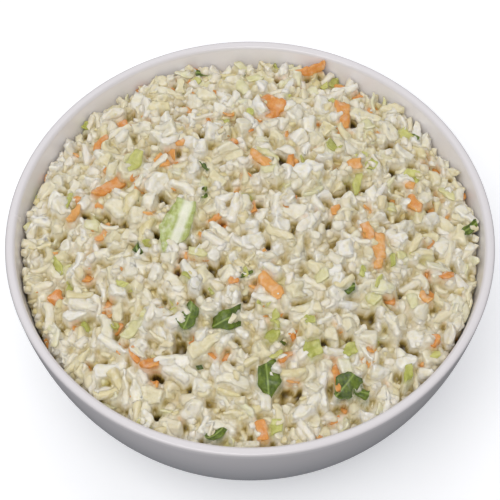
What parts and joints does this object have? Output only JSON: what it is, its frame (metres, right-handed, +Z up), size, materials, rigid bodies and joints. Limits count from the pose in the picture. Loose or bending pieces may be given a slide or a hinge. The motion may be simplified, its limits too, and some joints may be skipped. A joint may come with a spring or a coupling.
{
  "type": "coleslaw in a serving bowl",
  "caption": "Round white glazed serving bowl heaped with finely chopped cabbage, carrot and green leaf in a light dressing.",
  "frame": {"origin": "on the floor, in the middle of the bowl's foot ring", "axes": "+Z up along the bowl's axis, -Y towards the viewer of the picture, +X to the viewer's right"},
  "size_m": [0.17, 0.17, 0.0816],
  "materials": {
    "glazed_white": "smooth clear gloss glaze on white porcelain",
    "dressed_cabbage": "moist chopped cabbage with a thin film of creamy dressing"
  },
  "bodies": {
    "root": {"bowl": "glazed_white", "coleslaw": "dressed_cabbage"}
  },
  "joints": []
}
